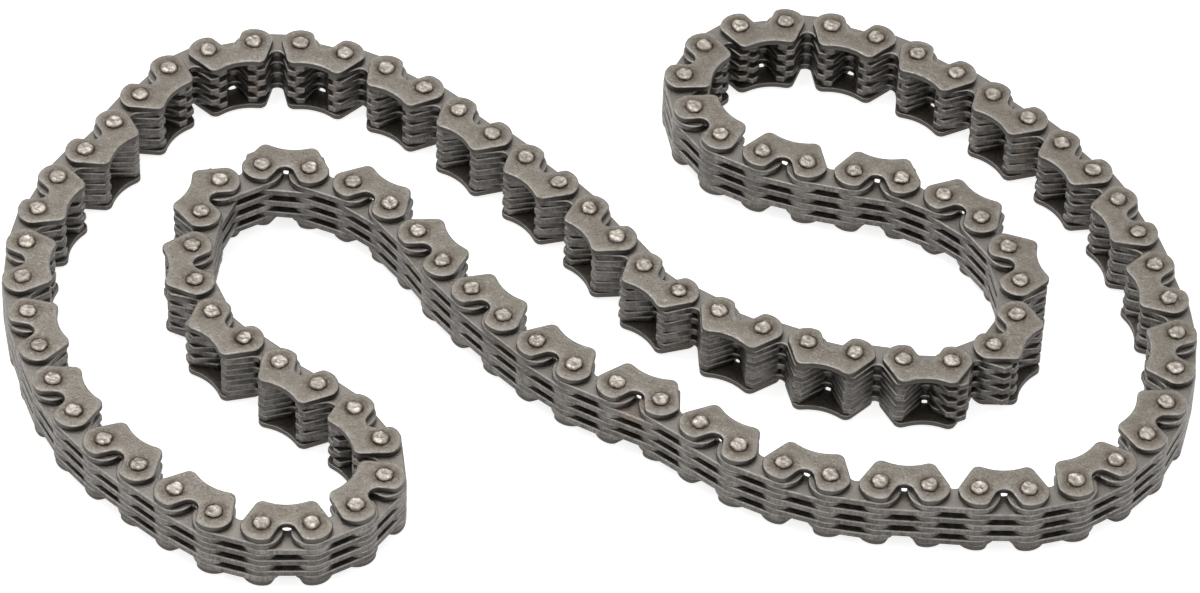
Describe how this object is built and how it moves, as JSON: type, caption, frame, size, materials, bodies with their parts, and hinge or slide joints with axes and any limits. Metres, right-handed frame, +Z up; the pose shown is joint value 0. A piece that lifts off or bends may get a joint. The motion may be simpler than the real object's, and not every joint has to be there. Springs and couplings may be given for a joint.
{
  "type": "timing chain",
  "caption": "Endless inverted-tooth (silent) timing chain of laminated toothed leaves and outer guide plates on riveted pins, laid on its side in an S-fold with the teeth inside",
  "frame": {"origin": "middle of the laid loop, on the surface it lies on", "axes": "+Z up along the pins, +X along the long side of the laid loop, -Y towards the viewer of the picture"},
  "size_m": [0.157, 0.1016, 0.0099],
  "materials": {
    "guide_plate": "stamped and tumbled steel, warm grey, lightly oiled",
    "toothed_leaf": "stamped steel, dark with oil between the teeth",
    "pin": "hardened steel, ends spun over and brighter than the plates",
    "link_module": "stamped steel, warm dark grey, oiled"
  },
  "bodies": {
    "guide_link": {"guide_plate_lower": "guide_plate", "guide_plate_upper": "guide_plate", "guide_row_leaf_1": "toothed_leaf", "guide_row_leaf_2": "toothed_leaf", "guide_row_leaf_3": "toothed_leaf", "rivet_pin_leading": "pin", "rivet_pin_trailing": "pin"},
    "inner_link": {"inner_leaf_1": "toothed_leaf", "inner_leaf_2": "toothed_leaf", "inner_leaf_3": "toothed_leaf", "inner_leaf_4": "toothed_leaf"},
    "double_link_pair_27": {"double_link_pair_27": "link_module"},
    "double_link_pair_43": {"double_link_pair_43": "link_module"},
    "link_pair_01": {"link_pair_01": "link_module"},
    "link_pair_02": {"link_pair_02": "link_module"},
    "link_pair_03": {"link_pair_03": "link_module"},
    "link_pair_04": {"link_pair_04": "link_module"},
    "link_pair_05": {"link_pair_05": "link_module"},
    "link_pair_06": {"link_pair_06": "link_module"},
    "link_pair_07": {"link_pair_07": "link_module"},
    "link_pair_08": {"link_pair_08": "link_module"},
    "link_pair_09": {"link_pair_09": "link_module"},
    "link_pair_10": {"link_pair_10": "link_module"},
    "link_pair_11": {"link_pair_11": "link_module"},
    "link_pair_12": {"link_pair_12": "link_module"},
    "link_pair_13": {"link_pair_13": "link_module"},
    "link_pair_14": {"link_pair_14": "link_module"},
    "link_pair_15": {"link_pair_15": "link_module"},
    "link_pair_16": {"link_pair_16": "link_module"},
    "link_pair_17": {"link_pair_17": "link_module"},
    "link_pair_18": {"link_pair_18": "link_module"},
    "link_pair_19": {"link_pair_19": "link_module"},
    "link_pair_20": {"link_pair_20": "link_module"},
    "link_pair_21": {"link_pair_21": "link_module"},
    "link_pair_22": {"link_pair_22": "link_module"},
    "link_pair_23": {"link_pair_23": "link_module"},
    "link_pair_24": {"link_pair_24": "link_module"},
    "link_pair_25": {"link_pair_25": "link_module"},
    "link_pair_26": {"link_pair_26": "link_module"},
    "link_pair_28": {"link_pair_28": "link_module"},
    "link_pair_29": {"link_pair_29": "link_module"},
    "link_pair_30": {"link_pair_30": "link_module"},
    "link_pair_31": {"link_pair_31": "link_module"},
    "link_pair_32": {"link_pair_32": "link_module"},
    "link_pair_33": {"link_pair_33": "link_module"},
    "link_pair_34": {"link_pair_34": "link_module"},
    "link_pair_35": {"link_pair_35": "link_module"},
    "link_pair_36": {"link_pair_36": "link_module"},
    "link_pair_37": {"link_pair_37": "link_module"},
    "link_pair_38": {"link_pair_38": "link_module"},
    "link_pair_39": {"link_pair_39": "link_module"},
    "link_pair_40": {"link_pair_40": "link_module"},
    "link_pair_41": {"link_pair_41": "link_module"},
    "link_pair_42": {"link_pair_42": "link_module"},
    "link_pair_44": {"link_pair_44": "link_module"},
    "link_pair_45": {"link_pair_45": "link_module"},
    "link_pair_46": {"link_pair_46": "link_module"},
    "link_pair_47": {"link_pair_47": "link_module"},
    "link_pair_48": {"link_pair_48": "link_module"},
    "link_pair_49": {"link_pair_49": "link_module"}
  },
  "joints": [
    {"name": "pivot_pin_54", "type": "hinge", "parent": "double_link_pair_27", "child": "link_pair_26", "pos_m": [-0.01981, 0.0282, 0.005], "axis": [0, 0, 1], "range_deg": [-8, 8]},
    {"name": "pivot_pin_58", "type": "hinge", "parent": "link_pair_28", "child": "double_link_pair_27", "pos_m": [-0.00168, 0.01043, 0.005], "axis": [0, 0, 1], "range_deg": [-8, 8]},
    {"name": "pivot_pin_60", "type": "hinge", "parent": "link_pair_29", "child": "link_pair_28", "pos_m": [0.00578, 0.00015, 0.005], "axis": [0, 0, 1], "range_deg": [-8, 8]},
    {"name": "pivot_pin_62", "type": "hinge", "parent": "link_pair_30", "child": "link_pair_29", "pos_m": [0.01578, -0.00759, 0.005], "axis": [0, 0, 1], "range_deg": [-8, 8]},
    {"name": "pivot_pin_64", "type": "hinge", "parent": "link_pair_31", "child": "link_pair_30", "pos_m": [0.02741, -0.01266, 0.005], "axis": [0, 0, 1], "range_deg": [-8, 8]},
    {"name": "pivot_pin_66", "type": "hinge", "parent": "link_pair_32", "child": "link_pair_31", "pos_m": [0.03985, -0.01513, 0.005], "axis": [0, 0, 1], "range_deg": [-8, 8]},
    {"name": "pivot_pin_68", "type": "hinge", "parent": "link_pair_33", "child": "link_pair_32", "pos_m": [0.0517, -0.01194, 0.005], "axis": [0, 0, 1], "range_deg": [-8, 8]},
    {"name": "pivot_pin_70", "type": "hinge", "parent": "link_pair_34", "child": "link_pair_33", "pos_m": [0.05532, -0.00005, 0.005], "axis": [0, 0, 1], "range_deg": [-8, 8]},
    {"name": "pivot_pin_72", "type": "hinge", "parent": "link_pair_35", "child": "link_pair_34", "pos_m": [0.05036, 0.01142, 0.005], "axis": [0, 0, 1], "range_deg": [-8, 8]},
    {"name": "pivot_pin_74", "type": "hinge", "parent": "link_pair_36", "child": "link_pair_35", "pos_m": [0.03975, 0.01826, 0.005], "axis": [0, 0, 1], "range_deg": [-8, 8]},
    {"name": "pivot_pin_76", "type": "hinge", "parent": "link_pair_37", "child": "link_pair_36", "pos_m": [0.02727, 0.02062, 0.005], "axis": [0, 0, 1], "range_deg": [-8, 8]},
    {"name": "pivot_pin_78", "type": "hinge", "parent": "link_pair_38", "child": "link_pair_37", "pos_m": [0.01555, 0.02538, 0.005], "axis": [0, 0, 1], "range_deg": [-8, 8]},
    {"name": "pivot_pin_80", "type": "hinge", "parent": "link_pair_39", "child": "link_pair_38", "pos_m": [0.01047, 0.03673, 0.005], "axis": [0, 0, 1], "range_deg": [-8, 8]},
    {"name": "pivot_pin_82", "type": "hinge", "parent": "link_pair_40", "child": "link_pair_39", "pos_m": [0.01792, 0.04666, 0.005], "axis": [0, 0, 1], "range_deg": [-8, 8]},
    {"name": "pivot_pin_84", "type": "hinge", "parent": "link_pair_41", "child": "link_pair_40", "pos_m": [0.03047, 0.04736, 0.005], "axis": [0, 0, 1], "range_deg": [-8, 8]},
    {"name": "pivot_pin_86", "type": "hinge", "parent": "link_pair_42", "child": "link_pair_41", "pos_m": [0.04214, 0.04247, 0.005], "axis": [0, 0, 1], "range_deg": [-8, 8]},
    {"name": "pivot_pin_88", "type": "hinge", "parent": "double_link_pair_43", "child": "link_pair_42", "pos_m": [0.05234, 0.03493, 0.005], "axis": [0, 0, 1], "range_deg": [-8, 8]},
    {"name": "pivot_pin_92", "type": "hinge", "parent": "link_pair_44", "child": "double_link_pair_43", "pos_m": [0.06867, 0.01566, 0.005], "axis": [0, 0, 1], "range_deg": [-8, 8]},
    {"name": "pivot_pin_94", "type": "hinge", "parent": "link_pair_45", "child": "link_pair_44", "pos_m": [0.07313, 0.00379, 0.005], "axis": [0, 0, 1], "range_deg": [-8, 8]},
    {"name": "pivot_pin_96", "type": "hinge", "parent": "link_pair_46", "child": "link_pair_45", "pos_m": [0.07562, -0.00864, 0.005], "axis": [0, 0, 1], "range_deg": [-8, 8]},
    {"name": "pivot_pin_98", "type": "hinge", "parent": "link_pair_47", "child": "link_pair_46", "pos_m": [0.07382, -0.02118, 0.005], "axis": [0, 0, 1], "range_deg": [-8, 8]},
    {"name": "pivot_pin_100", "type": "hinge", "parent": "link_pair_48", "child": "link_pair_47", "pos_m": [0.06699, -0.03174, 0.005], "axis": [0, 0, 1], "range_deg": [-8, 8]},
    {"name": "pivot_pin_102", "type": "hinge", "parent": "link_pair_49", "child": "link_pair_48", "pos_m": [0.05574, -0.03727, 0.005], "axis": [0, 0, 1], "range_deg": [-8, 8]},
    {"name": "pivot_pin_00", "type": "hinge", "parent": "guide_link", "child": "link_pair_49", "pos_m": [0.04305, -0.03723, 0.005], "axis": [0, 0, 1], "range_deg": [-8, 8]},
    {"name": "pivot_pin_01", "type": "hinge", "parent": "guide_link", "child": "inner_link", "pos_m": [0.0367, -0.03703, 0.005], "axis": [0, 0, 1], "range_deg": [-8, 8]},
    {"name": "pivot_pin_02", "type": "hinge", "parent": "inner_link", "child": "link_pair_01", "pos_m": [0.03042, -0.03609, 0.005], "axis": [0, 0, 1], "range_deg": [-8, 8]},
    {"name": "pivot_pin_04", "type": "hinge", "parent": "link_pair_01", "child": "link_pair_02", "pos_m": [0.01861, -0.03149, 0.005], "axis": [0, 0, 1], "range_deg": [-8, 8]},
    {"name": "pivot_pin_06", "type": "hinge", "parent": "link_pair_02", "child": "link_pair_03", "pos_m": [0.00844, -0.02389, 0.005], "axis": [0, 0, 1], "range_deg": [-8, 8]},
    {"name": "pivot_pin_08", "type": "hinge", "parent": "link_pair_03", "child": "link_pair_04", "pos_m": [-0.00294, -0.01826, 0.005], "axis": [0, 0, 1], "range_deg": [-8, 8]},
    {"name": "pivot_pin_10", "type": "hinge", "parent": "link_pair_04", "child": "link_pair_05", "pos_m": [-0.01241, -0.00982, 0.005], "axis": [0, 0, 1], "range_deg": [-8, 8]},
    {"name": "pivot_pin_12", "type": "hinge", "parent": "link_pair_05", "child": "link_pair_06", "pos_m": [-0.02076, -0.00026, 0.005], "axis": [0, 0, 1], "range_deg": [-8, 8]},
    {"name": "pivot_pin_14", "type": "hinge", "parent": "link_pair_06", "child": "link_pair_07", "pos_m": [-0.02824, 0.00999, 0.005], "axis": [0, 0, 1], "range_deg": [-8, 8]},
    {"name": "pivot_pin_16", "type": "hinge", "parent": "link_pair_07", "child": "link_pair_08", "pos_m": [-0.03922, 0.01613, 0.005], "axis": [0, 0, 1], "range_deg": [-8, 8]},
    {"name": "pivot_pin_18", "type": "hinge", "parent": "link_pair_08", "child": "link_pair_09", "pos_m": [-0.05097, 0.01325, 0.005], "axis": [0, 0, 1], "range_deg": [-8, 8]},
    {"name": "pivot_pin_20", "type": "hinge", "parent": "link_pair_09", "child": "link_pair_10", "pos_m": [-0.05381, 0.00096, 0.005], "axis": [0, 0, 1], "range_deg": [-8, 8]},
    {"name": "pivot_pin_22", "type": "hinge", "parent": "link_pair_10", "child": "link_pair_11", "pos_m": [-0.05042, -0.01112, 0.005], "axis": [0, 0, 1], "range_deg": [-8, 8]},
    {"name": "pivot_pin_24", "type": "hinge", "parent": "link_pair_11", "child": "link_pair_12", "pos_m": [-0.04109, -0.01972, 0.005], "axis": [0, 0, 1], "range_deg": [-8, 8]},
    {"name": "pivot_pin_26", "type": "hinge", "parent": "link_pair_12", "child": "link_pair_13", "pos_m": [-0.03097, -0.02737, 0.005], "axis": [0, 0, 1], "range_deg": [-8, 8]},
    {"name": "pivot_pin_28", "type": "hinge", "parent": "link_pair_13", "child": "link_pair_14", "pos_m": [-0.02647, -0.03887, 0.005], "axis": [0, 0, 1], "range_deg": [-8, 8]},
    {"name": "pivot_pin_30", "type": "hinge", "parent": "link_pair_14", "child": "link_pair_15", "pos_m": [-0.03529, -0.04757, 0.005], "axis": [0, 0, 1], "range_deg": [-8, 8]},
    {"name": "pivot_pin_32", "type": "hinge", "parent": "link_pair_15", "child": "link_pair_16", "pos_m": [-0.04775, -0.0462, 0.005], "axis": [0, 0, 1], "range_deg": [-8, 8]},
    {"name": "pivot_pin_34", "type": "hinge", "parent": "link_pair_16", "child": "link_pair_17", "pos_m": [-0.05791, -0.03861, 0.005], "axis": [0, 0, 1], "range_deg": [-8, 8]},
    {"name": "pivot_pin_36", "type": "hinge", "parent": "link_pair_17", "child": "link_pair_18", "pos_m": [-0.06687, -0.02964, 0.005], "axis": [0, 0, 1], "range_deg": [-8, 8]},
    {"name": "pivot_pin_38", "type": "hinge", "parent": "link_pair_18", "child": "link_pair_19", "pos_m": [-0.07234, -0.01822, 0.005], "axis": [0, 0, 1], "range_deg": [-8, 8]},
    {"name": "pivot_pin_40", "type": "hinge", "parent": "link_pair_19", "child": "link_pair_20", "pos_m": [-0.07556, -0.00595, 0.005], "axis": [0, 0, 1], "range_deg": [-8, 8]},
    {"name": "pivot_pin_42", "type": "hinge", "parent": "link_pair_20", "child": "link_pair_21", "pos_m": [-0.07463, 0.00667, 0.005], "axis": [0, 0, 1], "range_deg": [-8, 8]},
    {"name": "pivot_pin_44", "type": "hinge", "parent": "link_pair_21", "child": "link_pair_22", "pos_m": [-0.06928, 0.01813, 0.005], "axis": [0, 0, 1], "range_deg": [-8, 8]},
    {"name": "pivot_pin_46", "type": "hinge", "parent": "link_pair_22", "child": "link_pair_23", "pos_m": [-0.06281, 0.02904, 0.005], "axis": [0, 0, 1], "range_deg": [-8, 8]},
    {"name": "pivot_pin_48", "type": "hinge", "parent": "link_pair_23", "child": "link_pair_24", "pos_m": [-0.05419, 0.03811, 0.005], "axis": [0, 0, 1], "range_deg": [-8, 8]},
    {"name": "pivot_pin_50", "type": "hinge", "parent": "link_pair_24", "child": "link_pair_25", "pos_m": [-0.04182, 0.04019, 0.005], "axis": [0, 0, 1], "range_deg": [-8, 8]}
  ],
  "couplings": [
    {"joint": "pivot_pin_54", "follows": "pivot_pin_58", "ratio": -0.37118},
    {"joint": "pivot_pin_60", "follows": "pivot_pin_58", "ratio": -0.85271},
    {"joint": "pivot_pin_62", "follows": "pivot_pin_58", "ratio": 0.59177},
    {"joint": "pivot_pin_64", "follows": "pivot_pin_58", "ratio": -0.36788},
    {"joint": "pivot_pin_66", "follows": "pivot_pin_76", "ratio": -0.89881},
    {"joint": "pivot_pin_68", "follows": "pivot_pin_76", "ratio": 0.78624},
    {"joint": "pivot_pin_70", "follows": "pivot_pin_76", "ratio": 0.79594},
    {"joint": "pivot_pin_72", "follows": "pivot_pin_76", "ratio": -0.86945},
    {"joint": "pivot_pin_74", "follows": "pivot_pin_76", "ratio": -0.81392},
    {"joint": "pivot_pin_78", "follows": "pivot_pin_82", "ratio": 0.42433},
    {"joint": "pivot_pin_80", "follows": "pivot_pin_82", "ratio": -0.94392},
    {"joint": "pivot_pin_84", "follows": "pivot_pin_82", "ratio": -0.48041},
    {"joint": "pivot_pin_86", "follows": "pivot_pin_94", "ratio": 0.85242},
    {"joint": "pivot_pin_88", "follows": "pivot_pin_94", "ratio": -0.97276},
    {"joint": "pivot_pin_92", "follows": "pivot_pin_94", "ratio": -0.99018},
    {"joint": "pivot_pin_96", "follows": "pivot_pin_94", "ratio": 0.94472},
    {"joint": "pivot_pin_98", "follows": "pivot_pin_94", "ratio": -0.83421},
    {"joint": "pivot_pin_100", "follows": "pivot_pin_02", "ratio": -0.53449},
    {"joint": "pivot_pin_102", "follows": "pivot_pin_02", "ratio": 0.97014},
    {"joint": "pivot_pin_00", "follows": "pivot_pin_02", "ratio": 0.79514},
    {"joint": "pivot_pin_01", "follows": "pivot_pin_02", "ratio": 0.98311},
    {"joint": "pivot_pin_04", "follows": "pivot_pin_02", "ratio": -0.75231},
    {"joint": "pivot_pin_06", "follows": "pivot_pin_16", "ratio": 0.85208},
    {"joint": "pivot_pin_08", "follows": "pivot_pin_16", "ratio": -0.99255},
    {"joint": "pivot_pin_10", "follows": "pivot_pin_16", "ratio": 0.6976},
    {"joint": "pivot_pin_12", "follows": "pivot_pin_16", "ratio": -0.8298},
    {"joint": "pivot_pin_14", "follows": "pivot_pin_16", "ratio": -0.72733},
    {"joint": "pivot_pin_18", "follows": "pivot_pin_26", "ratio": -0.6402},
    {"joint": "pivot_pin_20", "follows": "pivot_pin_26", "ratio": 0.91162},
    {"joint": "pivot_pin_22", "follows": "pivot_pin_26", "ratio": -0.98274},
    {"joint": "pivot_pin_24", "follows": "pivot_pin_26", "ratio": 0.67013},
    {"joint": "pivot_pin_28", "follows": "pivot_pin_26", "ratio": -0.95881},
    {"joint": "pivot_pin_30", "follows": "pivot_pin_32", "ratio": -0.40453},
    {"joint": "pivot_pin_34", "follows": "pivot_pin_32", "ratio": -0.40685},
    {"joint": "pivot_pin_36", "follows": "pivot_pin_32", "ratio": -0.6835},
    {"joint": "pivot_pin_38", "follows": "pivot_pin_32", "ratio": 0.49487},
    {"joint": "pivot_pin_40", "follows": "pivot_pin_42", "ratio": -0.98037},
    {"joint": "pivot_pin_44", "follows": "pivot_pin_42", "ratio": 0.96555},
    {"joint": "pivot_pin_46", "follows": "pivot_pin_42", "ratio": -0.67898},
    {"joint": "pivot_pin_48", "follows": "pivot_pin_42", "ratio": -0.96918},
    {"joint": "pivot_pin_50", "follows": "pivot_pin_42", "ratio": 0.66298}
  ]
}
